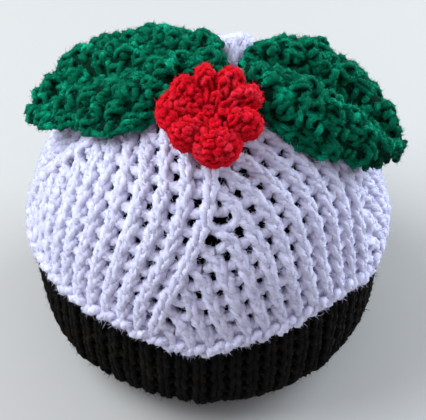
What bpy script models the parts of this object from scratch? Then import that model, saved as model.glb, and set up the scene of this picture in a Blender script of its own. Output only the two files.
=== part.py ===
"""Knitted christmas pudding: a stuffed dark ball, a white icing cap, two holly leaves and a berry.

Metres, +Z up. The origin is the centre of the flat underside, and the front is -Y.
Every piece is a closed solid of knitted fabric, and touching pieces keep a small gap.
"""

import math

import bmesh
import bpy
from mathutils import Vector

MM = 0.001

# The plain outline of the ball, measured over the ribs of the dark fabric.
EQUATOR_RADIUS = 39.5 * MM
EQUATOR_HEIGHT = 24.0 * MM
DOME_HEIGHT = 43.0 * MM         # equator to crown
LOWER_REACH = 32.0 * MM         # half height of the boxier curve below the equator
LOWER_EXPONENT = 3.3
FOOT_ROUNDING = 10.5 * MM       # rounding between the side and the flat underside

# Knitting: wales (columns of stitches) run up in sectors, and each sector loses four wales in
# five rows at its decrease line until the crown is gathered.
SECTORS = 5
WALES_PER_SECTOR = 13
WALES_LOST_IN_A_ROW = 0.8
ROWS = 16
RIB_DEPTH = 0.8 * MM
DECREASE_AZIMUTH = math.radians(8.5)    # the decrease line nearest the front
DECREASE_LEAN = math.radians(22)      # how far each line drifts aside at the lower edge
UPRIGHT_FROM = 0.7                    # rise at which these lines have straightened

# Icing cap.
ICING_PROUD = 1.3 * MM          # its ribs stand this far outside the plain outline
ICING_INSET = 1.2 * MM          # its inner face lies this far inside the plain outline
BODY_TUCK = 1.6 * MM            # the ball under the icing is pulled in by this much
TUCK_START = 3.4 * MM           # the pull starts this far below the icing's edge
TUCK_END = 0.4 * MM
EDGE_HEIGHT = 31.0 * MM
EDGE_SCALLOP = 0.35 * MM
CROWN_TUFT = 4.6 * MM           # the gathered crown stands up behind the middle
CROWN_TUFT_AT = (5.8 * MM, 10.5 * MM)
CROWN_TUFT_WIDTH = 5.2 * MM

# Leaves.
LEAF_THICKNESS = 3.2 * MM
LEAF_STATIONS = 22
LEAF_SIDE_POINTS = 7
LEAF_END = 0.012                # share of the length cut off square at each end
LEAF_CLEARANCE = 0.9 * MM       # measured straight up from the icing
LEAF_SOFTNESS = 1.5 * MM        # how gently a leaf bends where it comes to rest

# Berry.
BERRY_THICKNESS = 8.0 * MM
BERRY_COLUMNS = 48
# Its lobes: the angle of the furrow before each from +X in degrees, the depth of that furrow as
# a share, and the rim's radius in mm in the furrow and on the lobe's crest.
BERRY_LOBES = ((6, 1.0, 8.0, 11.3), (41, 0.8, 8.4, 11.4), (78, 1.0, 7.4, 10.6),
               (111, 0.8, 7.5, 9.7), (150, 0.5, 8.6, 10.2), (203, 0.5, 8.2, 9.2),
               (246, 0.6, 7.6, 11.2), (322, 1.0, 7.6, 10.9))
BERRY_HOLLOW = 3.4 * MM
BERRY_ROUNDS = 9
BERRY_FORWARD = 12.7 * MM       # how far in front of the crown it is sewn on
BERRY_CLEARANCE = 0.5 * MM

COLOURS = {
    "dark_yarn": (0.012, 0.010, 0.008),
    "white_yarn": (0.72, 0.73, 0.84),
    "green_yarn": (0.004, 0.115, 0.062),
    "red_yarn": (0.42, 0.008, 0.016),
}


def clear_scene():
    for old in list(bpy.data.objects):
        bpy.data.objects.remove(old, do_unlink=True)


def yarn_material(name):
    material = bpy.data.materials.new(name)
    material.use_nodes = True
    shader = material.node_tree.nodes["Principled BSDF"]
    shader.inputs["Base Color"].default_value = (*COLOURS[name], 1.0)
    shader.inputs["Roughness"].default_value = 0.9
    shader.inputs["Metallic"].default_value = 0.0
    return material


def solid_object(name, bm, material_name):
    """Turns a closed bmesh into a smooth-shaded object of the given yarn."""
    bmesh.ops.recalc_face_normals(bm, faces=bm.faces[:])
    mesh = bpy.data.meshes.new(name)
    bm.to_mesh(mesh)
    bm.free()
    mesh.shade_smooth()
    mesh.materials.append(yarn_material(material_name))
    solid = bpy.data.objects.new(name, mesh)
    bpy.context.scene.collection.objects.link(solid)
    return solid


def smooth_step(value):
    value = min(max(value, 0.0), 1.0)
    return value * value * (3 - 2 * value)


# ---------------------------------------------------------------- outline of the ball

def lower_radius(height):
    share = (EQUATOR_HEIGHT - height) / LOWER_REACH
    radius = EQUATOR_RADIUS * (1 - share ** LOWER_EXPONENT) ** (1 / LOWER_EXPONENT)
    if height < FOOT_ROUNDING:
        turn = 1 - height / FOOT_ROUNDING
        radius -= FOOT_ROUNDING * (1 - math.sqrt(1 - turn * turn))
    return radius


def outline_points():
    """Radius and height of the plain outline, from the foot up to the crown."""
    steps = 160
    points = []
    for step in range(steps):
        height = EQUATOR_HEIGHT * (1 - math.cos(math.pi / 2 * step / steps))
        points.append((lower_radius(height), height))
    for step in range(steps + 1):
        angle = math.pi / 2 * step / steps
        radius = EQUATOR_RADIUS * math.cos(angle)
        points.append((radius, EQUATOR_HEIGHT + DOME_HEIGHT * math.sin(angle)))
    return points


OUTLINE = outline_points()


def outline_lengths():
    lengths = [0.0]
    for (r0, z0), (r1, z1) in zip(OUTLINE, OUTLINE[1:]):
        lengths.append(lengths[-1] + math.hypot(r1 - r0, z1 - z0))
    return lengths


LENGTHS = outline_lengths()


def outline_at(length, offset):
    """Radius and height at a length along the outline, moved out along its normal."""
    length = min(max(length, 0.0), LENGTHS[-1])
    high = next(i for i, end in enumerate(LENGTHS) if end >= length and i > 0)
    (r0, z0), (r1, z1) = OUTLINE[high - 1], OUTLINE[high]
    span = LENGTHS[high] - LENGTHS[high - 1]
    share = (length - LENGTHS[high - 1]) / span
    normal_r, normal_z = (z1 - z0) / span, (r0 - r1) / span
    radius = r0 + (r1 - r0) * share + normal_r * offset
    return max(radius, 0.0), z0 + (z1 - z0) * share + normal_z * offset


def length_at_height(height):
    high = next(i for i, (_, z) in enumerate(OUTLINE) if z >= height)
    z0, z1 = OUTLINE[high - 1][1], OUTLINE[high][1]
    share = (height - z0) / (z1 - z0)
    return LENGTHS[high - 1] + (LENGTHS[high] - LENGTHS[high - 1]) * share


def place(azimuth, radius, height):
    """A point at an azimuth measured from the front (-Y) towards +X."""
    return Vector((radius * math.sin(azimuth), -radius * math.cos(azimuth), height))


# ---------------------------------------------------------------- knitted rounds

def wales_in_row(row):
    return max(round(WALES_PER_SECTOR - WALES_LOST_IN_A_ROW * row), 1)


def decrease_azimuth(sector, rise):
    """Azimuth of a decrease line, at a rise of 0 at the lower edge and 1 at the crown."""
    lean = DECREASE_LEAN * (1 - smooth_step(rise / UPRIGHT_FROM))
    return DECREASE_AZIMUTH - lean + 2 * math.pi * sector / SECTORS


def icing_edge(azimuth):
    """Height of the icing's lower edge: lowest at the front, raised on its right."""
    front = math.exp(-((azimuth + 0.04) / 0.27) ** 2)
    right = math.exp(-((azimuth - 0.72) / 0.26) ** 2)
    wave = 0.6 * math.sin(3 * azimuth + 2.0) + 0.4 * math.sin(5 * azimuth)
    return EDGE_HEIGHT + (wave - 3.2 * front + 2.6 * right) * MM


def signed_angle(azimuth):
    return (azimuth + math.pi) % (2 * math.pi) - math.pi


def knitted_round(bm, row_rise, wales, point):
    """One round of vertices, two to a wale: a groove, then the ridge beside it.

    Each sector is listed from its far boundary back to its decrease line, so that equal
    places in neighbouring rounds lie on one wale."""
    ring = []
    for sector in range(SECTORS):
        near = decrease_azimuth(sector, row_rise)
        far = decrease_azimuth(sector + 1, row_rise)
        columns = []
        for column in range(2 * wales):
            azimuth = far - (far - near) * column / (2 * wales)
            columns.append(bm.verts.new(point(signed_angle(azimuth), column % 2 == 1)))
        ring.append(columns)
    return ring


def sector_columns(ring, sector):
    """A sector's vertices with the first vertex of the neighbour that ends it."""
    return ring[sector] + [ring[sector - 1][0]]


def join_rounds(bm, lower, upper):
    """Faces between two rounds. A wale that the upper round lost closes to a point."""
    for sector in range(SECTORS):
        below = sector_columns(lower, sector)
        above = sector_columns(upper, sector)
        last = len(above) - 1
        for column in range(len(below) - 1):
            corners = [below[column], below[column + 1]]
            if column < last:
                corners += [above[column + 1], above[column]]
            else:
                corners.append(above[last])
            bm.faces.new(corners)


def close_round(bm, ring, centre):
    hub = bm.verts.new(centre)
    loop = [vertex for sector in reversed(range(SECTORS)) for vertex in ring[sector]]
    for first, second in zip(loop, loop[1:] + loop[:1]):
        bm.faces.new((first, second, hub))


def crown_tuft(x, y):
    distance = math.hypot(x - CROWN_TUFT_AT[0], y - CROWN_TUFT_AT[1])
    return CROWN_TUFT * math.exp(-(distance / CROWN_TUFT_WIDTH) ** 2)


def covered_round(bm, row, ridge_offset, groove_offset, tuft, from_edge):
    """A round above the icing's edge, on a surface given by its offsets from the outline."""
    rise = row / ROWS
    crown_length = LENGTHS[-1]

    def point(azimuth, ridge):
        scallop = EDGE_SCALLOP * (1 - rise) ** 4 * (-1 if ridge else 1)
        start = length_at_height(icing_edge(azimuth) + scallop + from_edge)
        length = start + (crown_length - start) * rise
        radius, height = outline_at(length, ridge_offset if ridge else groove_offset)
        spot = place(azimuth, radius, height)
        spot.z += crown_tuft(spot.x, spot.y) if tuft else 0.0
        return spot

    return knitted_round(bm, rise, wales_in_row(row), point)


# ---------------------------------------------------------------- the pieces

def make_icing():
    """The white cap: a ribbed outer face and a plain inner face, joined round the edge."""
    bm = bmesh.new()
    outer = [covered_round(bm, row, ICING_PROUD, ICING_PROUD - RIB_DEPTH, True, 0.0)
             for row in range(ROWS)]
    inner = [covered_round(bm, row, -ICING_INSET, -ICING_INSET, False, 0.3 * MM)
             for row in range(0, ROWS, 2)]
    for surface in (outer, inner):
        for lower, upper in zip(surface, surface[1:]):
            join_rounds(bm, lower, upper)
    join_rounds(bm, outer[0], inner[0])
    top = OUTLINE[-1][1]
    close_round(bm, outer[-1], (0, 0, top + ICING_PROUD + crown_tuft(0, 0)))
    close_round(bm, inner[-1], (0, 0, top - ICING_INSET))
    return solid_object("icing_cap", bm, "white_yarn")


def make_body():
    """The stuffed ball: ribbed where it shows, and pulled in where the icing covers it."""
    bm = bmesh.new()
    bands = 8
    rounds = []
    for band in range(bands):
        share = band / bands

        def point(azimuth, ridge):
            edge = length_at_height(icing_edge(azimuth)) - TUCK_START
            rib = RIB_DEPTH * smooth_step(share * 4)
            offset = 0.0 if ridge else -rib
            radius, height = outline_at(edge * share, offset)
            return place(azimuth, radius, max(height, 0.0) if band else 0.0)

        rounds.append(knitted_round(bm, 0.0, WALES_PER_SECTOR, point))
    rounds.append(tuck_round(bm, TUCK_START, 0.0, RIB_DEPTH))
    rounds.append(tuck_round(bm, TUCK_END, BODY_TUCK, 0.0))
    for row in range(2, ROWS, 2):
        rounds.append(covered_round(bm, row, -BODY_TUCK, -BODY_TUCK, False, 0.0))
    for lower, upper in zip(rounds, rounds[1:]):
        join_rounds(bm, lower, upper)
    close_round(bm, rounds[0], (0, 0, 0))
    close_round(bm, rounds[-1], (0, 0, OUTLINE[-1][1] - BODY_TUCK))
    return solid_object("pudding_body", bm, "dark_yarn")


def tuck_round(bm, below_edge, tuck, rib):
    """A round just below the icing's edge, where the ball starts to be pulled in."""
    def point(azimuth, ridge):
        length = length_at_height(icing_edge(azimuth)) - below_edge
        radius, height = outline_at(length, -tuck - (0.0 if ridge else rib))
        return place(azimuth, radius, height)

    return knitted_round(bm, 0.0, WALES_PER_SECTOR, point)


def lobed_width(share, side):
    """Half width of one side of a leaf: each lobe swells out between two notches."""
    for (start, start_width), (end, end_width), swell in zip(side["notches"], side["notches"][1:],
                                                             side["swells"]):
        if share <= end:
            inside = (share - start) / (end - start)
            straight = start_width + (end_width - start_width) * inside
            return (straight + swell * math.sin(math.pi * inside) ** 0.6) * MM
    return 0.0


def resting_lift(spot):
    """How far a leaf is lifted at a spot of its middle surface to rest on the icing."""
    reach = math.hypot(spot.x, spot.y) / (EQUATOR_RADIUS + ICING_PROUD)
    dome = (DOME_HEIGHT + ICING_PROUD) * math.sqrt(max(1 - reach * reach, 0))
    icing = EQUATOR_HEIGHT + dome + crown_tuft(spot.x, spot.y)
    short = icing + LEAF_CLEARANCE + LEAF_THICKNESS / 2 - spot.z
    return (short + math.hypot(short, LEAF_SOFTNESS)) / 2


def leaf_section(share, leaf):
    """A leaf's cross-section: how far across and how far up from the middle each point lies."""
    back = lobed_width(share, leaf["back"])
    front = lobed_width(share, leaf["front"])
    end = math.sin(math.pi * share) ** 0.3
    points = []
    for side in (1, -1):
        for step in range(LEAF_SIDE_POINTS):
            across = math.cos(math.pi * step / LEAF_SIDE_POINTS) * side
            reach = across * (back if across > 0 else front)
            half = LEAF_THICKNESS / 2 * end * (1 - abs(across) ** 3) ** 0.5
            vein = leaf["vein_depth"] * math.exp(-(across / 0.28) ** 2) * end
            points.append((reach, -vein, half * side))
    return points


def make_leaf(name, leaf):
    """A holly leaf lofted along its bent midrib, from its sewn end to its tip."""
    bm = bmesh.new()
    crown = Vector((0, 0, EQUATOR_HEIGHT + DOME_HEIGHT + ICING_PROUD))
    spine = [crown + Vector(spot) * MM for spot in leaf["spine"]]
    slope = math.radians(leaf["slope"])
    back = Vector((0, math.cos(slope), math.sin(slope)))
    rings = []
    for station in range(LEAF_STATIONS + 1):
        share = LEAF_END + (1 - 2 * LEAF_END) * (0.5 - 0.5 * math.cos(math.pi * station / LEAF_STATIONS))
        rest = 1 - share
        spot = (spine[0] * rest ** 3 + spine[1] * 3 * rest ** 2 * share
                + spine[2] * 3 * rest * share ** 2 + spine[3] * share ** 3)
        along = ((spine[1] - spine[0]) * rest ** 2 + (spine[2] - spine[1]) * 2 * rest * share
                 + (spine[3] - spine[2]) * share ** 2).normalized()
        aside = (back - along * back.dot(along)).normalized()
        up = along.cross(aside)
        up = up if up.z > 0 else -up
        ring = []
        for across, sink, half in leaf_section(share, leaf):
            middle = spot + aside * across + up * sink
            middle.z += resting_lift(middle)
            ring.append(bm.verts.new(middle + up * half))
        rings.append(ring)
    for ring, following in zip(rings, rings[1:]):
        for i in range(len(ring)):
            j = (i + 1) % len(ring)
            bm.faces.new((ring[i], ring[j], following[j], following[i]))
    bm.faces.new(rings[0])
    bm.faces.new(list(reversed(rings[-1])))
    bmesh.ops.triangulate(bm, faces=bm.faces[:])
    return solid_object(name, bm, "green_yarn")


# Each leaf, in mm: four points that steer its midrib from the sewn end to the tip, taken from
# the icing's crown, how steeply its back side rises, and the notches (share of length, half
# width) and the swelling lobes between them on its two sides.
LEAF_LEFT = {
    "spine": ((3.0, 2.6, 1.9), (-10.0, 0.4, 1.1), (-24.4, 1.2, -3.4), (-37.5, 1.8, -12.7)),
    "slope": 11, "vein_depth": 1.2 * MM,
    "back": {"notches": ((0, 4.2), (0.17, 8.0), (0.50, 11.2), (1, 0.4)), "swells": (0.9, 2.8, 6.6)},
    "front": {"notches": ((0, 4.0), (0.25, 7.0), (0.74, 8.0), (1, 0.4)), "swells": (0.6, 7.9, 2.8)},
}
LEAF_RIGHT = {
    "spine": ((7.4, 0.0, 2.1), (18.0, -2.2, 0.1), (30.2, -1.2, -7.2), (40.2, -5.2, -16.0)),
    "slope": 19, "vein_depth": 2.8 * MM,
    "back": {"notches": ((0, 1.6), (0.48, 10.5), (0.80, 7.6), (1, 0.4)), "swells": (4.6, 2.4, 1.6)},
    "front": {"notches": ((0, 3.0), (0.12, 7.4), (0.70, 10.8), (1, 0.4)), "swells": (1.2, 5.0, 3.6)},
}


def make_berry():
    """A gathered rosette: a lobed cushion drawn in to a hollow at its centre."""
    bm = bmesh.new()
    length = next(s for s, (r, _) in zip(LENGTHS[::-1], OUTLINE[::-1]) if r >= BERRY_FORWARD)
    foot = place(0, *outline_at(length, ICING_PROUD + BERRY_CLEARANCE))
    facing = (foot - place(0, *outline_at(length, 0.0))).normalized()
    aside = Vector((1, 0, 0))
    upward = facing.cross(aside)
    rings = []
    for step in range(BERRY_ROUNDS + 1):
        turn = math.pi * step / BERRY_ROUNDS
        ring = []
        for column in range(BERRY_COLUMNS):
            angle = 2 * math.pi * column / BERRY_COLUMNS
            lobe, rim = berry_lobe(360 * column / BERRY_COLUMNS)
            reach = rim * berry_reach(turn)
            out = aside * math.cos(angle) + upward * math.sin(angle)
            ring.append(bm.verts.new(foot + facing * berry_rise(turn, lobe) + out * reach))
        rings.append(ring)
    for ring, following in zip(rings, rings[1:]):
        for i in range(BERRY_COLUMNS):
            j = (i + 1) % BERRY_COLUMNS
            bm.faces.new((ring[i], ring[j], following[j], following[i]))
    bottom = bm.verts.new(foot)
    top = bm.verts.new(foot + facing * (BERRY_THICKNESS - BERRY_HOLLOW))
    for i in range(BERRY_COLUMNS):
        j = (i + 1) % BERRY_COLUMNS
        bm.faces.new((rings[0][j], rings[0][i], bottom))
        bm.faces.new((rings[-1][i], rings[-1][j], top))
    return solid_object("berry", bm, "red_yarn")


def berry_lobe(degrees):
    """1 on the crest of a lobe, falling to 0 in a deep furrow, and the rim's radius there."""
    first = BERRY_LOBES[0]
    after = BERRY_LOBES[1:] + ((first[0] + 360, first[1], first[2], first[3]),)
    turned = (degrees - first[0]) % 360 + first[0]
    for (start, depth, notch, crest), (end, end_depth, end_notch, _) in zip(BERRY_LOBES, after):
        if turned <= end:
            inside = (turned - start) / (end - start)
            swell = math.sin(math.pi * inside) ** 0.8
            lobe = 1 - (depth + (end_depth - depth) * inside) * (1 - swell)
            between = notch + (end_notch - notch) * inside
            return lobe, (between + (crest - between) * swell) * MM
    return 1.0, first[3] * MM


def berry_reach(turn):
    """Share of the radius, from the underside's rim round the side to the hollow."""
    if turn < math.pi / 2:
        return 0.62 + 0.38 * math.sin(turn)
    return 0.08 + 0.92 * math.sin(turn)


def berry_rise(turn, lobe):
    """Height above the foot: each lobe is crested, and the furrows between run to the hollow."""
    half = BERRY_THICKNESS / 2
    if turn < math.pi / 2:
        return half * (1 - math.cos(turn))
    inward = turn / (math.pi / 2) - 1
    crest = half * (0.72 + 0.28 * lobe) * math.sin(math.pi * inward ** 0.75)
    return half + crest * (1 - inward ** 3) + (half - BERRY_HOLLOW) * inward ** 2


def main():
    clear_scene()
    make_body()
    make_icing()
    make_leaf("leaf_left", LEAF_LEFT)
    make_leaf("leaf_right", LEAF_RIGHT)
    make_berry()


main()
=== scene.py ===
"""Looks of the knitted christmas pudding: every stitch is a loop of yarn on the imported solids.

Lengths are in millimetres until a mesh is made. +Z is up and the front is -Y.
"""

import math

import bpy
import numpy as np
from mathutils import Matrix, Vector


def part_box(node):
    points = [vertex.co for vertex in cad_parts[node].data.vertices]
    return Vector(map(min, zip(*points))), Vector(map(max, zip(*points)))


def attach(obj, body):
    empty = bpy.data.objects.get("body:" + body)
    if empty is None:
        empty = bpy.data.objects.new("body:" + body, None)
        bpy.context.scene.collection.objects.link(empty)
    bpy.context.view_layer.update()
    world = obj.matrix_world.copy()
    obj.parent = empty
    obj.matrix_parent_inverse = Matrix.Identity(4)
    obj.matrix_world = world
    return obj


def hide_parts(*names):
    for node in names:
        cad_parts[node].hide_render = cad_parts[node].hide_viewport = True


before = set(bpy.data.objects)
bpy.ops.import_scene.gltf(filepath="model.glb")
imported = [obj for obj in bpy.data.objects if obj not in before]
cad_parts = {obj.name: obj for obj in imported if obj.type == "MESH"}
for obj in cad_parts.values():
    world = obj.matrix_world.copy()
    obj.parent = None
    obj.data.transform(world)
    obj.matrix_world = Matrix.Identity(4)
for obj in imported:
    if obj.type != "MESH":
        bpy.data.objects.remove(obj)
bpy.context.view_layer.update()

MM = 0.001
SEED = 12


def node_box(node):
    """Lowest and highest corner of a CAD node, in millimetres."""
    low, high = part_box(node)
    return np.array(low) / MM, np.array(high) / MM


BODY_LOW, BODY_HIGH = node_box("pudding_body")

# The plain outline of the ball, as in the CAD.
EQUATOR_RADIUS = (BODY_HIGH[0] - BODY_LOW[0]) / 2
EQUATOR_HEIGHT = 24.0
BODY_TUCK = 1.6                  # the ball lies this deep under the icing
DOME_HEIGHT = BODY_HIGH[2] + BODY_TUCK - EQUATOR_HEIGHT
LOWER_REACH = 32.0
LOWER_EXPONENT = 3.3
FOOT_ROUNDING = 10.5
ICING_PROUD = 1.3
EDGE_HEIGHT = 31.0
CROWN_TUFT = 4.6
CROWN_TUFT_AT = (5.8, 10.5)
CROWN_TUFT_WIDTH = 5.2

# Knitting of the ball and its icing, in sectors that lose wales at their decrease lines.
ICING_SECTORS = 5
ICING_WALES = 13                 # wales to a sector at the edge
ICING_ROWS = 16
ICING_DECREASE = 0.8             # wales that each sector loses from row to row
DECREASE_AZIMUTH = math.radians(8.5)
DECREASE_LEAN = math.radians(22)
UPRIGHT_FROM = 0.7               # rise at which the decrease lines have straightened
DARK_SECTORS = 8
DARK_WALES = 8
DARK_ROWS = 18
DARK_WALE_ON_BASE = 5.1          # distance from the underside's middle for each wale to a sector

# One loop of yarn: spread bows its head and foot, gather draws its legs together, reach is how
# far it stretches up and down, and depth how far the legs stand in front of head and foot. The
# yarn is fatter by the share swell at head and foot, and thinner by it where legs pull it tight.
ICING_STITCH = {"spread": 1.10, "gather": 1.10, "reach": 3.05, "depth": 0.62, "radius": 1.08,
                "swell": 0.17}
DARK_STITCH = {"spread": 0.95, "gather": 0.62, "reach": 2.8, "depth": 0.50, "radius": 0.86,
               "swell": 0.14}
LEAF_STITCH = {"spread": 0.95, "gather": 0.40, "reach": 2.3, "depth": 0.80, "radius": 0.80,
               "swell": 0.12}
BERRY_STITCH = {"spread": 0.90, "gather": 0.30, "reach": 1.55, "depth": 0.40, "radius": 0.58,
                "swell": 0.10}


def smooth_step(value):
    value = np.clip(value, 0.0, 1.0)
    return value * value * (3 - 2 * value)


# ---------------------------------------------------------------- outline of the ball

def make_outline():
    """Radius, height and outward normal at even lengths, from the middle of the underside up."""
    turn = np.linspace(0, math.pi / 2, 400)
    height = EQUATOR_HEIGHT * (1 - np.cos(turn))
    share = (EQUATOR_HEIGHT - height) / LOWER_REACH
    radius = EQUATOR_RADIUS * (1 - share ** LOWER_EXPONENT) ** (1 / LOWER_EXPONENT)
    foot = np.clip(1 - height / FOOT_ROUNDING, 0, 1)
    radius = radius - FOOT_ROUNDING * (1 - np.sqrt(1 - foot ** 2))
    base = np.linspace(0, radius[0], 60)[:-1]
    all_radii = np.concatenate([base, radius, EQUATOR_RADIUS * np.cos(turn[1:])])
    dome = EQUATOR_HEIGHT + DOME_HEIGHT * np.sin(turn[1:])
    all_heights = np.concatenate([np.zeros(len(base)), height, dome])
    steps = np.hypot(np.diff(all_radii), np.diff(all_heights))
    lengths = np.concatenate([[0], np.cumsum(steps)])
    even = np.linspace(0, lengths[-1], 600)
    radii = np.interp(even, lengths, all_radii)
    heights = np.interp(even, lengths, all_heights)
    out_r = np.gradient(heights, even)
    out_z = -np.gradient(radii, even)
    size = np.hypot(out_r, out_z)
    return even, radii, heights, out_r / size, out_z / size


LENGTHS, RADII, HEIGHTS, OUT_R, OUT_Z = make_outline()
CROWN_LENGTH = LENGTHS[-1]


def icing_edge(azimuth):
    """Height of the icing's lower edge: lowest at the front, raised on its right."""
    azimuth = (azimuth + math.pi) % (2 * math.pi) - math.pi
    front = np.exp(-((azimuth + 0.04) / 0.27) ** 2)
    right = np.exp(-((azimuth - 0.72) / 0.26) ** 2)
    wave = 0.6 * np.sin(3 * azimuth + 2.0) + 0.4 * np.sin(5 * azimuth)
    return EDGE_HEIGHT + wave - 3.2 * front + 2.6 * right


def edge_length(azimuth):
    return np.interp(icing_edge(azimuth), HEIGHTS, LENGTHS)


def crown_tuft(x, y):
    distance = np.hypot(x - CROWN_TUFT_AT[0], y - CROWN_TUFT_AT[1])
    return CROWN_TUFT * np.exp(-(distance / CROWN_TUFT_WIDTH) ** 2)


def on_outline(azimuth, length, offset, tuft):
    """Points and outward normals on the ball at an azimuth from the front towards +X."""
    out_r = np.interp(length, LENGTHS, OUT_R)
    out_z = np.interp(length, LENGTHS, OUT_Z)
    radius = np.maximum(np.interp(length, LENGTHS, RADII) + out_r * offset, 0.0)
    height = np.interp(length, LENGTHS, HEIGHTS) + out_z * offset
    x, y = radius * np.sin(azimuth), -radius * np.cos(azimuth)
    if tuft:
        height = height + crown_tuft(x, y)
    normal = np.stack([out_r * np.sin(azimuth), -out_r * np.cos(azimuth), out_z], -1)
    return np.stack([x, y, height], -1), normal


# ---------------------------------------------------------------- tubes of yarn

def unit(vectors):
    return vectors / np.maximum(np.linalg.norm(vectors, axis=-1, keepdims=True), 1e-9)


PLY = 0.76                       # depth of the grooves between a yarn's plies, as a share
WOOL = np.random.default_rng(5)
WOOLLINESS = 0.085               # unevenness of a yarn's surface, as a share of its radius


def tubes(paths, normals, radius, sides, closed, ridge=1.0, twist=0.0):
    """Tubes along paths of shape (tubes, points, 3). Every second corner of a cross-section is
    drawn in to the share ridge, and the cross-section turns by twist at each point, so that the
    plies of the yarn show. Returns vertices, quads, triangles, outward directions and, as
    strand, the length along the yarn, the angle round it and its side: 1 on top, -1 below."""
    count, points = paths.shape[:2]
    if closed:
        ahead = np.roll(paths, -1, axis=1) - np.roll(paths, 1, axis=1)
    else:
        ahead = np.gradient(paths, axis=1)
    ahead = unit(ahead)
    aside = unit(np.cross(ahead, normals))
    upright = np.cross(aside, ahead)
    corner = 2 * math.pi * np.arange(sides) / sides
    angle = corner[None, None, :] + twist * np.arange(points)[None, :, None]
    angle = np.broadcast_to(angle, (count, points, sides))
    reach = np.where(np.arange(sides) % 2 == 0, 1.0, ridge)
    if ridge < 1:
        reach = reach + WOOL.normal(0, WOOLLINESS, angle.shape)
    radius = np.broadcast_to(np.asarray(radius, float), (count, points))
    out = (aside[:, :, None, :] * np.cos(angle)[..., None]
           + upright[:, :, None, :] * np.sin(angle)[..., None])
    size = np.broadcast_to(radius[:, :, None] * reach, angle.shape)
    vertices = paths[:, :, None, :] + out * size[..., None]

    index = np.arange(count * points * sides).reshape(count, points, sides)
    after = np.roll(index, -1, axis=1) if closed else index[:, 1:]
    here = index if closed else index[:, :-1]
    quads = np.stack([here, np.roll(here, -1, axis=2), np.roll(after, -1, axis=2), after], -1)
    triangles = np.zeros((0, 3), int)
    if not closed:
        fans = []
        for second in range(1, sides - 1):
            fans.append(index[:, 0][:, [0, second + 1, second]])
            fans.append(index[:, -1][:, [0, second, second + 1]])
        triangles = np.concatenate(fans)
    step = np.linalg.norm(np.diff(paths, axis=1, prepend=paths[:, :1]), axis=-1)
    along = np.broadcast_to(np.cumsum(step, axis=1)[:, :, None], angle.shape)
    strand = np.stack([along, corner + 0 * along, np.sin(angle)], -1)
    return {"vertices": vertices.reshape(-1, 3), "quads": quads.reshape(-1, 4),
            "triangles": triangles, "out": out.reshape(-1, 3), "strand": strand.reshape(-1, 3)}


def joined(parts):
    """Several meshes as one."""
    offsets = np.cumsum([0] + [len(part["vertices"]) for part in parts[:-1]])
    result = {}
    for key in ("vertices", "out", "strand"):
        result[key] = np.concatenate([part[key] for part in parts])
    for key in ("quads", "triangles"):
        result[key] = np.concatenate([part[key] + shift for part, shift in zip(parts, offsets)])
    return result


def add_piece(name, shape, material, stands_for=()):
    """Makes a smooth-shaded object of a mesh in millimetres, riding on the pudding."""
    mesh = bpy.data.meshes.new(name)
    quads, triangles = shape["quads"], shape["triangles"]
    corners = np.concatenate([quads.ravel(), triangles.ravel()]).astype(np.int32)
    totals = np.concatenate([np.full(len(quads), 4), np.full(len(triangles), 3)])
    starts = np.concatenate([[0], np.cumsum(totals)[:-1]])
    mesh.vertices.add(len(shape["vertices"]))
    mesh.vertices.foreach_set("co", (shape["vertices"] * MM).astype(np.float32).ravel())
    mesh.loops.add(len(corners))
    mesh.loops.foreach_set("vertex_index", corners)
    mesh.polygons.add(len(totals))
    mesh.polygons.foreach_set("loop_start", starts.astype(np.int32))
    mesh.polygons.foreach_set("loop_total", totals.astype(np.int32))
    strand = mesh.attributes.new("strand", "FLOAT_VECTOR", "POINT")
    strand.data.foreach_set("vector", shape["strand"].astype(np.float32).ravel())
    mesh.update(calc_edges=True)
    mesh.shade_smooth()
    mesh.materials.append(material)
    piece = bpy.data.objects.new(name, mesh)
    bpy.context.scene.collection.objects.link(piece)
    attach(piece, "root")
    if stands_for:
        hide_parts(*stands_for)
    return piece


def grid(points, normals, closed_across):
    """A quad mesh over a grid of points. Rows that should close onto themselves are joined."""
    rows, columns = points.shape[:2]
    index = np.arange(rows * columns).reshape(rows, columns)
    right = np.roll(index, -1, axis=1) if closed_across else index[:, 1:]
    left = index if closed_across else index[:, :-1]
    quads = np.stack([left[:-1], right[:-1], right[1:], left[1:]], -1).reshape(-1, 4)
    flat = points.reshape(-1, 3)
    # Cores get the side -1, below, in their strand, so they take their yarn's painted shade colour all
    # over.
    return {"vertices": flat, "quads": quads, "triangles": np.zeros((0, 3), int),
            "out": normals.reshape(-1, 3), "strand": flat * [1, 1, 0] - [0, 0, 1]}


def closed_rings(rings, normals):
    """A closed skin over rings of points, with a fan at each end."""
    skin = grid(rings, normals, True)
    rows, columns = rings.shape[:2]
    bottom, top = rings[0].mean(0), rings[-1].mean(0)
    first = np.arange(columns)
    after = np.roll(first, -1)
    last = first + (rows - 1) * columns
    hub = rows * columns
    low_fan = np.stack([after, first, np.full(columns, hub)], -1)
    high_fan = np.stack([last, np.roll(last, -1), np.full(columns, hub + 1)], -1)
    skin["vertices"] = np.concatenate([skin["vertices"], [bottom, top]])
    skin["strand"] = np.concatenate([skin["strand"], skin["strand"][[0, -1]]])
    skin["out"] = np.concatenate([skin["out"], [normals[0].mean(0), normals[-1].mean(0)]])
    skin["triangles"] = np.concatenate([low_fan, high_fan])
    return skin


# ---------------------------------------------------------------- stitches

def loop_of_yarn(turn, stitch):
    """One stitch over a turn from -pi to pi: across in wales, up and out in millimetres."""
    across = turn + stitch["spread"] * np.sin(2 * turn) - stitch["gather"] * np.sin(turn)
    up = stitch["reach"] * np.cos(turn)
    out = -stitch["depth"] * np.cos(2 * turn)
    return across / (2 * math.pi), up, out


def turns(segments):
    return (np.arange(segments) / segments - 0.5) * 2 * math.pi


def hand_tension(random, count, segments, amount):
    """A value that drifts from one stitch to the next along a closed row."""
    values = random.normal(0, amount, count)
    place = np.arange(count * segments) / segments
    return np.interp(place, np.arange(count + 1), np.append(values, values[0]))


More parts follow.
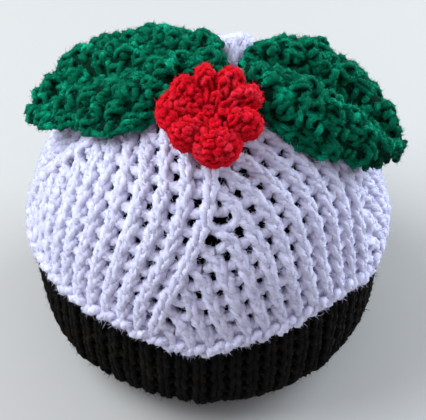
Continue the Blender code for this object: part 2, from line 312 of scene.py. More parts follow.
def ball_row(row, sectors, wales_at, stitch, row_height, segments, random):
    """One closed round of stitches on the ball. Returns for every point its row coordinate, its
    place in sectors round the ball, and how far out it lies. wales_at gives the wales to a
    sector at any row, and a row is knitted with the whole wales of it."""
    count = whole_wales(wales_at, row)
    turn = turns(segments)
    across, up, out = loop_of_yarn(turn, stitch)
    climb = up / row_height
    inverse = 1 / wales_at(row + climb)
    wale = np.arange(count)[:, None]
    vanishing = (wale == count - 1) & (whole_wales(wales_at, row + 1) < count)
    ending = np.where(vanishing, smooth_step(climb + 0.3), 0.0)
    share = (wale + 0.5 + across * (1 - 0.6 * ending)) * inverse
    gap = 1 - count / wales_at(row - stitch["reach"] / row_height)
    ramp = smooth_step((np.abs(turn) * 3 / math.pi - 1) / 2)
    share = share + gap / 2 * ramp * np.where((wale == count - 1) & (turn > 0), 1.0, 0.0)
    share = share - gap / 2 * ramp * np.where((wale == 0) & (turn <= 0), 1.0, 0.0)
    share = share + 0.5 * inverse * ending
    leading = np.where(wale == 0, np.cos(turn / 2) ** 2, 0.0)
    out = out[None, :] - DECREASE_SINK * ending + DECREASE_LIFT * leading
    sector = np.arange(sectors)[::-1].repeat(count * segments)
    stitches = sectors * count
    slack = hand_tension(random, stitches, segments, 1.0)
    drift = hand_tension(random, stitches, segments, 1.0)
    rise = hand_tension(random, stitches, segments, 1.0)
    rows = row + np.tile(np.broadcast_to(climb, (count, segments)).ravel(), sectors)
    rows = rows + 0.035 * slack
    share = np.tile(share.ravel(), sectors) + 0.035 / count * drift
    out = np.tile(out.ravel(), sectors) + 0.10 * rise
    return rows, sector + 1 - share, out


def whole_wales(wales_at, row):
    return int(wales_at(row) + 0.5)


DECREASE_SINK = 0.9              # a wale that ends dips under its neighbour
DECREASE_LIFT = 0.55             # the wale that covers it stands out


def yarn_radius(random, stitches, segments, stitch):
    """Radius along a closed row: uneven spinning, and fatter at the head and foot of loops."""
    swell = stitch["swell"] * np.cos(2 * np.tile(turns(segments), stitches))
    return stitch["radius"] * (1 + hand_tension(random, stitches, segments, 0.05) + swell)


def icing_wales(row):
    return np.clip(ICING_WALES - ICING_DECREASE * row, 1, ICING_WALES)


FULL_AT = 0.80                   # where round the ball the yarn of the icing is fullest
ICING_ROW_SHIFT = 0.80           # rows between the icing's edge and the middle of its first row
ICING_ROW_HEIGHT = 3.8
ICING_SEGMENTS = 26
ICING_MIDDLE = 0.0               # how far outside the outline the middle of the fabric lies


def icing_place(rows, sector, out):
    """Points and normals of the icing at row coordinates counted from its first row."""
    rise = np.clip((rows + ICING_ROW_SHIFT) / ICING_ROWS, -0.05, 1.0)
    lean = DECREASE_LEAN * (1 - smooth_step(rise / UPRIGHT_FROM))
    azimuth = DECREASE_AZIMUTH - lean + 2 * math.pi * sector / ICING_SECTORS
    start = edge_length(azimuth)
    length = start + (CROWN_LENGTH - start) * rise
    return on_outline(azimuth, length, ICING_MIDDLE + out, True)


def knit_icing(random):
    """The rounds of the icing as tubes, from its edge to its crown."""
    rounds = []
    for row in range(ICING_ROWS - 1):
        rows, sector, out = ball_row(row, ICING_SECTORS, icing_wales, ICING_STITCH,
                                     ICING_ROW_HEIGHT, ICING_SEGMENTS, random)
        points, normals = icing_place(rows, sector, out)
        stitches = ICING_SECTORS * whole_wales(icing_wales, row)
        left = np.exp(-((sector / ICING_SECTORS - FULL_AT + 0.5) % 1 - 0.5) ** 2 / 0.02)
        radius = yarn_radius(random, stitches, ICING_SEGMENTS, ICING_STITCH) * (1 + 0.13 * left)
        rounds.append(tubes(points[None], normals[None], radius[None], 8, True, 0.84, 0.76))
    return rounds


EDGE_YARN = {"radius": 1.10, "swell": 0.0}


def knit_icing_edge(random):
    """The cast-on edge: two strands that wind round each other below the first row."""
    wales = ICING_SECTORS * ICING_WALES
    segments = 12
    azimuth = np.arange(wales * segments) / (wales * segments) * 2 * math.pi
    sag = hand_tension(random, wales, segments, 0.35)
    strands = []
    for phase in (0.0, math.pi):
        wind = azimuth * wales + phase
        scallop = 0.50 * np.cos(azimuth * wales) + sag
        length = edge_length(azimuth) + 0.85 + 0.50 * np.sin(wind) - scallop
        out = 0.60 + 0.50 * np.cos(wind) + hand_tension(random, wales, segments, 0.14)
        points, normals = on_outline(azimuth, length, out, False)
        radius = yarn_radius(random, wales, segments, EDGE_YARN)
        strands.append(tubes(points[None], normals[None], radius[None], 8, True, 0.84, 0.76))
    return strands


# ---------------------------------------------------------------- the dark ball

def dark_wales(row):
    """Wales to a sector at a row, by the distance from the middle of the underside."""
    whole = edge_length(math.pi) + DARK_OVERLAP
    distance = whole * (1 - (row + 0.5) / DARK_ROWS)
    return np.clip(distance / DARK_WALE_ON_BASE, 1, DARK_WALES)


DARK_OVERLAP = 3.4               # the dark rows start this far above the icing's edge
DARK_ROW_HEIGHT = 3.3
DARK_SEGMENTS = 16
DARK_MIDDLE = -1.15


def knit_dark(random):
    """The rounds of the dark ball, from under the icing down and in to the underside's middle."""
    rounds = []
    for row in range(DARK_ROWS - 1):
        rows, sector, out = ball_row(row, DARK_SECTORS, dark_wales, DARK_STITCH,
                                     DARK_ROW_HEIGHT, DARK_SEGMENTS, random)
        azimuth = 2 * math.pi * sector / DARK_SECTORS
        whole = edge_length(azimuth) + DARK_OVERLAP
        length = np.maximum(whole * (1 - (rows + 0.5) / DARK_ROWS), 0.0)
        tuck = smooth_step((length - edge_length(azimuth) + 0.5) / 2)
        points, normals = on_outline(azimuth, length, DARK_MIDDLE + out - 1.1 * tuck, False)
        stitches = DARK_SECTORS * whole_wales(dark_wales, row)
        radius = yarn_radius(random, stitches, DARK_SEGMENTS, DARK_STITCH)
        points[:, 2] = np.maximum(points[:, 2], radius)
        rounds.append(tubes(points[None], normals[None], radius[None], 5, True, 1.0, 0.6))
    return rounds


def dark_core():
    """The stuffed skin behind the stitches, closed from the underside to the crown."""
    columns = 96
    azimuth = np.linspace(0, 2 * math.pi, columns, endpoint=False)[None, :]
    length = np.linspace(0.4, CROWN_LENGTH - 0.4, 60)[:, None]
    depth = CORE_DEPTH + 0 * azimuth + 0 * length
    points, normals = on_outline(azimuth + 0 * length, length + 0 * azimuth, -depth, False)
    return closed_rings(points, normals)


CORE_DEPTH = 1.75


def crown_core():
    """The drawn-up yarn behind the icing's last rows, which closes the crown."""
    azimuth = np.linspace(0, 2 * math.pi, 72, endpoint=False)[None, :]
    length = CROWN_LENGTH - np.linspace(CROWN_CORE_REACH, 0.3, 24)[:, None]
    azimuth, length = azimuth + 0 * length, length + 0 * azimuth
    outer, outer_normals = on_outline(azimuth, length, ICING_MIDDLE - 0.2, True)
    inner, inner_normals = on_outline(azimuth, length, ICING_MIDDLE - 1.3, True)
    rings = np.concatenate([inner[::-1], outer])
    return closed_rings(rings, np.concatenate([-inner_normals[::-1], outer_normals]))


def hem_core():
    """The doubled yarn of the cast-on row, a closed band behind the icing's edge."""
    azimuth = np.linspace(0, 2 * math.pi, 240, endpoint=False)
    around = np.linspace(0, 2 * math.pi, 12, endpoint=False)[:, None]
    length = edge_length(azimuth) + HEM_REACH / 2 * (1 - np.cos(around))
    points, normals = on_outline(azimuth + 0 * around, length, 0.55 * np.sin(around) - 0.25, False)
    band = grid(np.concatenate([points, points[:1]]), np.concatenate([normals, normals[:1]]), True)
    last = points.shape[0] * points.shape[1]
    band["quads"] = band["quads"] % last
    for key in ("vertices", "out", "strand"):
        band[key] = band[key][:last]
    return band


HEM_REACH = 3.6


CROWN_CORE_REACH = 13.0          # it reaches this far down from the crown


# ---------------------------------------------------------------- leaves

LEAF_THICKNESS = 3.2
LEAF_CLEARANCE = 0.9
LEAF_SOFTNESS = 1.5
LEAF_WALE = 3.2
LEAF_ROW_HEIGHT = 2.8
LEAF_SEGMENTS = 26

# Each leaf's driving sizes, as in the CAD: the midrib's steering points from the crown, the
# slope of its back side, the vein, and notches and swellings of its sides.
LEAVES = {
    "leaf_left": {
        "spine": ((3.0, 2.6, 1.9), (-10.0, 0.4, 1.1), (-24.4, 1.2, -3.4), (-37.5, 1.8, -12.7)),
        "slope": 11, "vein_depth": 1.2, "crests": (2.2, 2.8), "droop": 0.8,
        "back": {"notches": ((0, 4.2), (0.17, 8.0), (0.50, 11.2), (1, 0.4)),
                 "swells": (0.9, 2.8, 6.6)},
        "front": {"notches": ((0, 4.0), (0.25, 7.0), (0.74, 8.0), (1, 0.4)),
                  "swells": (0.6, 7.9, 2.8)},
    },
    "leaf_right": {
        "spine": ((7.4, 0.0, 2.1), (18.0, -2.2, 0.1), (30.2, -1.2, -7.2), (40.2, -5.2, -16.0)),
        "slope": 19, "vein_depth": 2.8, "crests": (3.2, 5.0), "droop": 2.8,
        "back": {"notches": ((0, 1.6), (0.48, 10.5), (0.80, 7.6), (1, 0.4)),
                 "swells": (4.6, 2.4, 1.6)},
        "front": {"notches": ((0, 3.0), (0.12, 7.4), (0.70, 10.8), (1, 0.4)),
                  "swells": (1.2, 5.0, 3.6)},
    },
}
CROWN = np.array([0, 0, EQUATOR_HEIGHT + DOME_HEIGHT + ICING_PROUD])


def lobed_width(share, side):
    """Half width of one side of a leaf: each lobe swells out between two notches."""
    width = np.zeros_like(share)
    for (start, start_width), (end, end_width), swell in zip(side["notches"], side["notches"][1:],
                                                             side["swells"]):
        inside = np.clip((share - start) / (end - start), 0, 1)
        lobe = start_width + (end_width - start_width) * inside
        lobe = lobe + swell * np.sin(math.pi * inside) ** 0.6
        width = np.where((share >= start) & (share <= end), lobe, width)
    return width


def leaf_middle(share, reach, leaf):
    """The leaf's middle surface at a share of its length and a signed reach from its midrib."""
    spine = CROWN + np.array(leaf["spine"])
    rest, share = (1 - share)[..., None], share[..., None]
    spot = (spine[0] * rest ** 3 + spine[1] * 3 * rest ** 2 * share
            + spine[2] * 3 * rest * share ** 2 + spine[3] * share ** 3)
    along = unit((spine[1] - spine[0]) * rest ** 2 + (spine[2] - spine[1]) * 2 * rest * share
                 + (spine[3] - spine[2]) * share ** 2)
    slope = math.radians(leaf["slope"])
    back = np.array([0, math.cos(slope), math.sin(slope)])
    aside = unit(back - along * (along @ back)[..., None])
    up = np.cross(along, aside)
    up = up * np.sign(up[..., 2:])
    width = np.where(reach > 0, lobed_width(share[..., 0], leaf["back"]),
                     lobed_width(share[..., 0], leaf["front"]))
    across = np.minimum(np.abs(reach) / np.maximum(width, 1), 1)
    vein = leaf["vein_depth"] * np.exp(-(across / 0.28) ** 2)
    end = np.sin(math.pi * np.clip(share[..., 0], 0.001, 0.999)) ** 0.3
    spot = spot + aside * reach[..., None] - up * (vein * end)[..., None]
    crest = np.where(reach > 0, leaf["crests"][0], leaf["crests"][1])
    puff = crest * end * np.sin(math.pi * across ** 0.8) ** 1.3
    droop = leaf["droop"] * end * np.where(reach < 0, across ** 2, 0.0)
    pucker = 1.10 * np.sin(reach * 1.05 + share[..., 0] * 9) * np.sin(share[..., 0] * 26 + reach * 0.4)
    span = np.hypot(spot[..., 0], spot[..., 1]) / (EQUATOR_RADIUS + ICING_PROUD)
    dome = (DOME_HEIGHT + ICING_PROUD) * np.sqrt(np.maximum(1 - span ** 2, 0))
    icing = EQUATOR_HEIGHT + dome + crown_tuft(spot[..., 0], spot[..., 1])
    short = icing + LEAF_CLEARANCE + LEAF_THICKNESS / 2 - spot[..., 2]
    spot[..., 2] += (short + np.hypot(short, LEAF_SOFTNESS)) / 2
    return spot + up * (puff - droop + pucker * end)[..., None]


def leaf_place(share, reach, out, leaf):
    """Points and normals at a height out above the leaf's middle surface."""
    small_share, small_reach = 0.004, 0.15
    share = np.clip(share, 0.002, 0.998)
    here = leaf_middle(share, reach, leaf)
    along = (leaf_middle(np.minimum(share + small_share, 0.999), reach, leaf)
             - leaf_middle(np.maximum(share - small_share, 0.001), reach, leaf))
    across = (leaf_middle(share, reach + small_reach, leaf)
              - leaf_middle(share, reach - small_reach, leaf))
    normal = unit(np.cross(along, across))
    normal = normal * np.sign(normal[..., 2:])
    return here + normal * out[..., None], normal


def leaf_length(leaf):
    middle = leaf_middle(np.linspace(0, 1, 60), np.zeros(60), leaf)
    return np.linalg.norm(np.diff(middle, axis=0), axis=1).sum()


def knit_leaf(leaf, random):
    """Rows of stitches across a leaf, from its sewn end to its tip, with an edge strand."""
    length = leaf_length(leaf)
    rows = int(length / LEAF_ROW_HEIGHT)
    strands = []
    for row in range(rows):
        centre = (row + 0.5) / rows
        near = np.array([centre])
        sides = {}
        for side, sign in (("back", 1), ("front", -1)):
            width = lobed_width(near, leaf[side])[0] - LEAF_EDGE_INSET
            count = max(int(round(width / LEAF_WALE)), 1)
            sides[sign] = (count, max(width, 1.0) / (count * LEAF_WALE))
        front, back = sides[-1][0], sides[1][0]
        wale = np.arange(-front, back)[:, None]
        across, up, out = loop_of_yarn(turns(LEAF_SEGMENTS), LEAF_STITCH)
        if row % 2:
            across, wale = -across, wale[::-1]
        moss = np.where((wale + row) % 2 == 0, 1.0, -1.0)
        out = (moss * out).ravel()
        reach = ((wale + 0.5 + across) * LEAF_WALE).ravel()
        reach = reach * np.where(reach > 0, sides[1][1], sides[-1][1])
        share = centre + np.tile(up, front + back) / length
        stitches = front + back
        share = share + 0.006 * hand_tension(random, stitches, LEAF_SEGMENTS, 1.0)
        out = out + 0.35 * hand_tension(random, stitches, LEAF_SEGMENTS, 1.0)
        points, normals = leaf_place(share, reach, out, leaf)
        radius = yarn_radius(random, stitches, LEAF_SEGMENTS, LEAF_STITCH)
        strands.append(tubes(points[None], normals[None], radius[None], 8, False, PLY, 0.68))
    strands.append(leaf_edge(leaf, length, random))
    return strands


LEAF_EDGE_INSET = 0.8


def leaf_edge(leaf, length, random):
    """The edge stitches: a strand that runs right round the leaf in small bumps."""
    count = 160
    share = np.concatenate([np.linspace(0.01, 0.985, count), np.linspace(0.985, 0.01, count)])
    side = np.repeat([1.0, -1.0], count)
    width = np.where(side > 0, lobed_width(share, leaf["back"]), lobed_width(share, leaf["front"]))
    bump = np.sin(np.linspace(0, 2 * math.pi * round(2 * length / 3.0), 2 * count))
    reach = side * np.maximum(width - 0.75 + 0.15 * bump, 0.2)
    points, normals = leaf_place(share, reach, 0.35 * bump, leaf)
    radius = 0.80 * (1 + 0.05 * random.normal(size=2 * count))
    return tubes(points[None], normals[None], radius[None], 6, True, PLY, 0.80)


def leaf_core(leaf):
    """The thin closed felt of yarn backs that fills the leaf behind its stitches."""
    stations, side_points = 40, 10
    share = np.linspace(0.015, 0.985, stations)
    rings, directions = [], []
    for sign in (1, -1):
        for step in range(side_points):
            across = math.cos(math.pi * step / side_points) * sign
            side = "back" if across > 0 else "front"
            reach = across * np.maximum(lobed_width(share, leaf[side]) - 1.0, 0.3)
            half = CORE_HALF * (1 - abs(across) ** 3) ** 0.5 * sign
            points, normals = leaf_place(share, reach, half + 0 * share, leaf)
            rings.append(points)
            directions.append(normals * sign)
    return closed_rings(np.stack(rings, 1), np.stack(directions, 1))


CORE_HALF = 0.3


# ---------------------------------------------------------------- the berry

BERRY_THICKNESS = 8.0
BERRY_FORWARD = 12.7
BERRY_CLEARANCE = 0.5
BERRY_COLUMNS = 30
BERRY_ROWS = 11
BERRY_SEGMENTS = 20
# The lobes: the angle of the furrow before each from +X in degrees, the depth of that furrow as
# a share, and the rim's radius in the furrow and on the lobe's crest.
BERRY_LOBES = ((6, 1.0, 8.0, 11.3), (41, 0.8, 8.4, 11.4), (78, 1.0, 7.4, 10.6),
               (111, 0.8, 7.5, 9.7), (150, 0.5, 8.6, 10.2), (203, 0.5, 8.2, 9.2),
               (246, 0.6, 7.6, 11.2), (322, 1.0, 7.6, 10.9))


def berry_lobe(angle):
    """1 on the crest of a lobe, falling to 0 in a deep furrow, and the rim's radius there."""
    first = BERRY_LOBES[0]
    after = BERRY_LOBES[1:] + ((first[0] + 360, first[1], first[2], first[3]),)
    turned = (np.degrees(angle) - first[0]) % 360 + first[0]
    lobe, rim = np.ones_like(angle), np.ones_like(angle)
    for (start, depth, notch, crest), (end, end_depth, end_notch, _) in zip(BERRY_LOBES, after):
        inside = np.clip((turned - start) / (end - start), 0, 1)
        swell = np.sin(math.pi * inside) ** 0.8
        here = (turned >= start) & (turned <= end)
        furrow = 1 - (depth + (end_depth - depth) * inside) * (1 - swell)
        between = notch + (end_notch - notch) * inside
        lobe = np.where(here, furrow, lobe)
        rim = np.where(here, between + (crest - between) * swell, rim)
    return lobe, rim


def berry_frame():
    length = np.interp(-BERRY_FORWARD, -RADII[300:], LENGTHS[300:])
    foot, normal = on_outline(np.array(0.0), length, ICING_PROUD + BERRY_CLEARANCE, False)
    aside = np.array([1.0, 0, 0])
    return foot, normal, aside, np.cross(normal, aside)


def berry_surface(turn, angle):
    """Points of the rosette: turn 0 is under its rim, half a turn is the hollow on top."""
    foot, facing, aside, upward = berry_frame()
    lobe, rim = berry_lobe(angle)
    under = turn < math.pi / 2
    inward = np.clip(turn / (math.pi / 2) - 1, 0, 1)
    reach = np.where(under, 0.62 + 0.38 * np.sin(turn), np.cos(inward * math.pi / 2) ** 0.85)
    reach = np.maximum(reach, 0.02) * (rim - 0.4)
    half = BERRY_THICKNESS / 2
    dome = half * (np.sin(math.pi / 2 * np.minimum(inward * 1.7, 1)) - 0.62 * inward ** 3)
    high = half + dome * (1 - 0.95 * (1 - lobe) * (1 - inward ** 6))
    height = np.where(under, half * (1 - np.cos(np.minimum(turn, math.pi / 2))), high)
    out = aside * np.cos(angle)[..., None] + upward * np.sin(angle)[..., None]
    return foot + facing * height[..., None] + out * reach[..., None]


def berry_place(turn, angle, out):
    """Points and normals at a height out above the rosette's surface."""
    small = 0.02
    here = berry_surface(turn, angle)
    along = berry_surface(turn + small, angle) - berry_surface(turn - small, angle)
    across = berry_surface(turn, angle + small) - berry_surface(turn, angle - small)
    normal = unit(np.cross(across, along))
    return here + normal * out[..., None], normal


def knit_berry(random):
    rounds = []
    for row in range(BERRY_ROWS):
        turn = math.pi * (row + 0.6) / BERRY_ROWS
        count = int(max(BERRY_COLUMNS * min(1.1 * math.sin(turn), 1), 6))
        across, up, out = loop_of_yarn(turns(BERRY_SEGMENTS), BERRY_STITCH)
        wale = np.arange(count)[:, None]
        angle = ((wale + 0.5 + across) / count * 2 * math.pi).ravel()
        loops = turn + np.tile(up, count) / BERRY_ROW_LENGTH * math.pi / BERRY_ROWS
        loops = loops + 0.03 * hand_tension(random, count, BERRY_SEGMENTS, 1.0)
        out = 0.16 * hand_tension(random, count, BERRY_SEGMENTS, 1.0) - np.tile(out, count) - 0.3
        points, normals = berry_place(np.clip(loops, 0.05, 3.09), angle, out)
        radius = yarn_radius(random, count, BERRY_SEGMENTS, BERRY_STITCH)
        rounds.append(tubes(points[None], normals[None], radius[None], 6, True, PLY, 0.80))
    return rounds


BERRY_ROW_LENGTH = 2.05          # length of one row over the rosette's surface


def berry_core():
    """The stuffed skin behind the berry's stitches."""
    turn = np.linspace(0.02, 3.10, 40)[:, None]
    angle = np.linspace(0, 2 * math.pi, 96, endpoint=False)[None, :]
    turn, angle = turn + 0 * angle, angle + 0 * turn
    points, normals = berry_place(turn, angle, -0.75 + 0 * turn)
    return closed_rings(points, normals)


# ---------------------------------------------------------------- loose fibres

def fuzz(yarn, count, length, random):
    """Short hairs over the yarn's outer side: closed three-sided needles, most of them low."""
    outward = unit(yarn["vertices"] - [0, 0, EQUATOR_HEIGHT])
    facing = np.flatnonzero((unit(yarn["out"]) * outward).sum(1) > -0.15)
    picked = random.choice(facing, count)
    start, out = yarn["vertices"][picked], unit(yarn["out"][picked])
    heading = unit(out * 0.35 + unit(random.normal(size=(count, 3))))
    rise = (heading * out).sum(1)
    heading = unit(heading + out * np.maximum(0.20 - rise, 0)[:, None])
    low = start[:, 2] < length
    heading[:, 2] = np.where(low, np.abs(heading[:, 2]), heading[:, 2])
    size = (length * random.uniform(0.4, 1.0, count))[:, None]
    aside = unit(np.cross(heading, random.normal(size=(count, 3))))
    upright = np.cross(aside, heading)
    angle = 2 * math.pi * np.arange(3) / 3
    ring = FUZZ_RADIUS * (aside[:, None] * np.cos(angle)[:, None]
                          + upright[:, None] * np.sin(angle)[:, None])
    foot = start - out * 0.10
    corners = np.concatenate([foot[:, None] + ring, (start + heading * size)[:, None]], 1)
    corners[..., 2] = np.maximum(corners[..., 2], 0.0)
    index = 4 * np.arange(count)[:, None]
    sides = [index + [side, (side + 1) % 3, 3] for side in range(3)]
    flat = corners.reshape(-1, 3)
    return {"vertices": flat, "quads": np.zeros((0, 4), int),
            "triangles": np.concatenate(sides + [index + [0, 2, 1]]),
            "out": np.repeat(out, 4, axis=0), "strand": flat * [1, 1, 0] + [0, 0, 1]}


FUZZ_RADIUS = 0.060


def fibres(yarn, count, length, random):
    """Fine hairs that stand off the yarn: closed three-sided threads with a bend and a point."""
    picked = random.integers(0, len(yarn["vertices"]), count)
    start, out = yarn["vertices"][picked], unit(yarn["out"][picked])
    lean = unit(random.normal(size=(count, 3)))
    heading = unit(out * 0.40 + lean)
    curl = unit(random.normal(size=(count, 3))) * 0.7
    for way in (heading, curl):
        way[:, 2] = np.where(start[:, 2] < length, np.abs(way[:, 2]), way[:, 2])
    size = (length * random.uniform(0.35, 1.0, count) ** 1.3)[:, None]
    first = start - out * 0.12
    second = start + heading * size * 0.5
    third = second + unit(heading + curl) * size * 0.5
    aside = unit(np.cross(heading, curl + 0.01))
    upright = np.cross(aside, heading)
    angle = 2 * math.pi * np.arange(3) / 3
    ring = FIBRE_RADIUS * (aside[:, None] * np.cos(angle)[:, None]
                           + upright[:, None] * np.sin(angle)[:, None])
    corners = np.concatenate([first[:, None] + ring, second[:, None] + ring, third[:, None]], 1)
    corners[..., 2] = np.maximum(corners[..., 2], 0.0)
    index = 7 * np.arange(count)[:, None]
    quads = [index + [side, (side + 1) % 3, (side + 1) % 3 + 3, side + 3] for side in range(3)]
    triangles = [index + [side + 3, (side + 1) % 3 + 3, 6] for side in range(3)]
    triangles.append(index + [0, 2, 1])
    flat = corners.reshape(-1, 3)
    return {"vertices": flat, "quads": np.concatenate(quads), "triangles": np.concatenate(triangles),
            "out": np.repeat(out, 7, axis=0), "strand": flat * [1, 1, 0] + [0, 0, 1]}


FIBRE_RADIUS = 0.038


# ---------------------------------------------------------------- materials

def node(tree, kind, **values):
    made = tree.nodes.new(kind)
    for name, value in values.items():
        setattr(made, name, value)
    return made


def yarn_material(name, painted_shade, shade, colour, light, sheen, fibre_bump=0.9):
    """Spun acrylic yarn: streaky colour along the strand, painted shade on its lower side and
    on its cores, standing in for the shade between the yarns, fine fibres and a soft sheen."""
    material = bpy.data.materials.new(name)
    material.use_nodes = True
    tree = material.node_tree
    shader = tree.nodes["Principled BSDF"]
    link = tree.links.new
    strand = node(tree, "ShaderNodeAttribute", attribute_name="strand")
    stretch = node(tree, "ShaderNodeMapping")
    stretch.inputs["Scale"].default_value = (0.9, 2.6, 0.0)
    streaks = node(tree, "ShaderNodeTexNoise")
    streaks.inputs["Scale"].default_value = 2.2
    streaks.inputs["Detail"].default_value = 4
    place = node(tree, "ShaderNodeTexCoord")
    patches = node(tree, "ShaderNodeTexNoise")
    patches.inputs["Scale"].default_value = 260
    patches.inputs["Detail"].default_value = 3
    grain = node(tree, "ShaderNodeTexNoise")
    grain.inputs["Scale"].default_value = 2600
    grain.inputs["Detail"].default_value = 4
    mixed = node(tree, "ShaderNodeMath", operation="ADD")
    ramp = node(tree, "ShaderNodeValToRGB")
    ramp.color_ramp.elements[0].position = 0.70
    ramp.color_ramp.elements[0].color = (*shade, 1)
    ramp.color_ramp.elements[1].position = 1.30
    ramp.color_ramp.elements[1].color = (*light, 1)
    middle = ramp.color_ramp.elements.new(0.5)
    middle.color = (*colour, 1)
    for element, position in zip(ramp.color_ramp.elements, (0.36, 0.5, 0.66)):
        element.position = position
    # Painted shade: the strand's side, 1 on top and -1 below, blends the painted shade colour in on
    # the yarn's lower side and over the cores.
    parts = node(tree, "ShaderNodeSeparateXYZ")
    top = node(tree, "ShaderNodeMapRange", interpolation_type="SMOOTHSTEP")
    top.inputs["From Min"].default_value = -0.8
    top.inputs["From Max"].default_value = 0.7
    painted_shade_blend = node(tree, "ShaderNodeMix", data_type="RGBA")
    painted_shade_blend.inputs["A"].default_value = (*painted_shade, 1)
    halve = node(tree, "ShaderNodeMath", operation="MULTIPLY")
    halve.inputs[1].default_value = 0.5
    bump = node(tree, "ShaderNodeBump")
    bump.inputs["Distance"].default_value = 0.12 * MM
    bump.inputs["Strength"].default_value = fibre_bump
    both = node(tree, "ShaderNodeMath", operation="ADD")
    link(strand.outputs["Vector"], stretch.inputs["Vector"])
    link(stretch.outputs["Vector"], streaks.inputs["Vector"])
    link(place.outputs["Object"], patches.inputs["Vector"])
    link(place.outputs["Object"], grain.inputs["Vector"])
    link(streaks.outputs["Fac"], mixed.inputs[0])
    link(patches.outputs["Fac"], mixed.inputs[1])
    link(mixed.outputs[0], halve.inputs[0])
    link(halve.outputs[0], ramp.inputs["Fac"])
    link(strand.outputs["Vector"], parts.inputs[0])
    link(parts.outputs["Z"], top.inputs["Value"])
    link(top.outputs["Result"], painted_shade_blend.inputs["Factor"])
    link(ramp.outputs["Color"], painted_shade_blend.inputs["B"])
    link(painted_shade_blend.outputs["Result"], shader.inputs["Base Color"])
    link(streaks.outputs["Fac"], both.inputs[0])
    link(grain.outputs["Fac"], both.inputs[1])
    link(both.outputs[0], bump.inputs["Height"])
    link(bump.outputs["Normal"], shader.inputs["Normal"])
    shader.inputs["Roughness"].default_value = 0.9
    shader.inputs["Specular IOR Level"].default_value = 0.08
    shader.inputs["Sheen Weight"].default_value = sheen
    shader.inputs["Sheen Roughness"].default_value = 0.45
    shader.inputs["Sheen Tint"].default_value = (*light, 1)
    return material


# ---------------------------------------------------------------- the pieces

def make_pudding():
    # The first colour is painted shade, for the yarn's lower side and its core.
    material = yarn_material("dark_yarn", (0.002, 0.0018, 0.0015), (0.004, 0.0035, 0.003),
                             (0.0085, 0.007, 0.0055), (0.020, 0.016, 0.012), 0.10)
    random = np.random.default_rng(SEED)
    rounds = knit_dark(random)
    yarn = joined(rounds)
    add_piece("dark_stitches_side", joined(rounds[:7]), material, ["pudding_body"])
    add_piece("dark_stitches_base", joined(rounds[7:]), material, ["pudding_body"])
    add_piece("dark_core", dark_core(), material, ["pudding_body"])
    hairs = joined([fuzz(yarn, 12000, 1.7, random), fibres(yarn, 2500, 2.1, random)])
    add_piece("dark_fibres", hairs, material, ["pudding_body"])


def make_icing():
    # The first colour is painted shade, for the yarn's lower side and its cores.
    material = yarn_material("white_yarn", (0.62, 0.57, 0.74), (0.72, 0.70, 0.89),
                             (0.78, 0.77, 0.95), (0.82, 0.83, 0.99), 0.35)
    random = np.random.default_rng(SEED + 1)
    rounds = knit_icing(random)
    edge = knit_icing_edge(random)
    yarn = joined(rounds + edge)
    add_piece("icing_stitches_lower", joined(rounds[:6]), material, ["icing_cap"])
    add_piece("icing_stitches_upper", joined(rounds[6:]), material, ["icing_cap"])
    add_piece("icing_edge", joined(edge), material, ["icing_cap"])
    add_piece("icing_crown", crown_core(), material, ["icing_cap"])
    add_piece("icing_hem", hem_core(), material, ["icing_cap"])
    hairs = joined([fuzz(yarn, 44000, 1.5, random), fibres(yarn, 2200, 2.4, random)])
    add_piece("icing_fibres", hairs, material, ["icing_cap"])


def make_leaves():
    # The first colour is painted shade, for the yarn's lower side and the leaf cores.
    material = yarn_material("green_yarn", (0.0001, 0.014, 0.007), (0.0002, 0.078, 0.037),
                             (0.0005, 0.225, 0.113), (0.003, 0.52, 0.285), 0.20)
    for number, (name, leaf) in enumerate(LEAVES.items()):
        random = np.random.default_rng(SEED + 2 + number)
        yarn = joined(knit_leaf(leaf, random))
        add_piece(name + "_stitches", yarn, material, [name])
        add_piece(name + "_core", leaf_core(leaf), material, [name])
        hairs = joined([fuzz(yarn, 12000, 1.3, random), fibres(yarn, 700, 2.0, random)])
        add_piece(name + "_fibres", hairs, material, [name])


def make_berry():
    # The first colour is painted shade, for the yarn's lower side and the berry's core.
    material = yarn_material("red_yarn", (0.40, 0.0004, 0.0040), (0.66, 0.0015, 0.0090),
                             (0.79, 0.0080, 0.028), (0.88, 0.040, 0.080), 0.35, 0.6)
    random = np.random.default_rng(SEED + 4)
    yarn = joined(knit_berry(random))
    add_piece("berry_stitches", yarn, material, ["berry"])
    add_piece("berry_core", berry_core(), material, ["berry"])
    hairs = joined([fuzz(yarn, 12000, 1.1, random), fibres(yarn, 500, 1.5, random)])
    add_piece("berry_fibres", hairs, material, ["berry"])


# ---------------------------------------------------------------- floor, light and camera

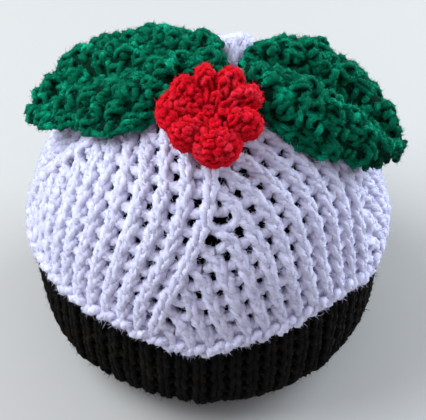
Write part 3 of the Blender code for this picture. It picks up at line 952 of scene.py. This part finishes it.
def make_floor():
    mesh = bpy.data.meshes.new("floor")
    reach = 1.5
    corners = [(-reach, -reach, 0), (reach, -reach, 0), (reach, reach, 0), (-reach, reach, 0)]
    mesh.from_pydata(corners, [], [(0, 1, 2, 3)])
    floor = bpy.data.objects.new("floor", mesh)
    bpy.context.scene.collection.objects.link(floor)
    material = bpy.data.materials.new("floor")
    material.use_nodes = True
    shader = material.node_tree.nodes["Principled BSDF"]
    shader.inputs["Base Color"].default_value = (0.50, 0.485, 0.46, 1)
    shader.inputs["Roughness"].default_value = 0.7
    mesh.materials.append(material)


def add_light(name, spot, size, power, colour):
    """A soft square lamp, spot and size in millimetres, aimed at the pudding."""
    lamp = bpy.data.lights.new(name, "AREA")
    lamp.size = size * MM
    lamp.energy = power
    lamp.color = colour
    light = bpy.data.objects.new(name, lamp)
    light.location = Vector(spot) * MM
    aim = Vector((0, 0, 30)) * MM - light.location
    light.rotation_euler = aim.to_track_quat("-Z", "Y").to_euler()
    bpy.context.scene.collection.objects.link(light)


def make_lights():
    world = bpy.data.worlds.new("studio")
    world.use_nodes = True
    background = world.node_tree.nodes["Background"]
    background.inputs["Color"].default_value = (0.92, 0.90, 1.0, 1)
    background.inputs["Strength"].default_value = 0.50
    bpy.context.scene.world = world
    add_light("window", (-420, 40, 450), 460, 4.9, (0.86, 0.94, 1.0))
    add_light("far_window", (480, 240, 230), 420, 4.5, (0.80, 0.94, 1.05))
    bpy.context.scene.view_settings.view_transform = "Standard"


def make_camera():
    """Looks down from the front at the pudding's equator."""
    elevation = math.radians(46)
    distance = 260
    back = Vector((0, -math.cos(elevation), math.sin(elevation)))
    camera = bpy.data.cameras.new("camera")
    camera.lens = 95.1
    camera.sensor_width = 36
    camera.shift_x = 0.0113
    camera.shift_y = 0.0378
    camera.clip_start = 0.01
    holder = bpy.data.objects.new("camera", camera)
    aim = Vector((0, 0, EQUATOR_HEIGHT))
    holder.location = (aim + back * distance) * MM
    holder.rotation_euler = (-back).to_track_quat("-Z", "Y").to_euler()
    bpy.context.scene.collection.objects.link(holder)
    bpy.context.scene.camera = holder


make_pudding()
make_icing()
make_leaves()
make_berry()
make_floor()
make_lights()
make_camera()
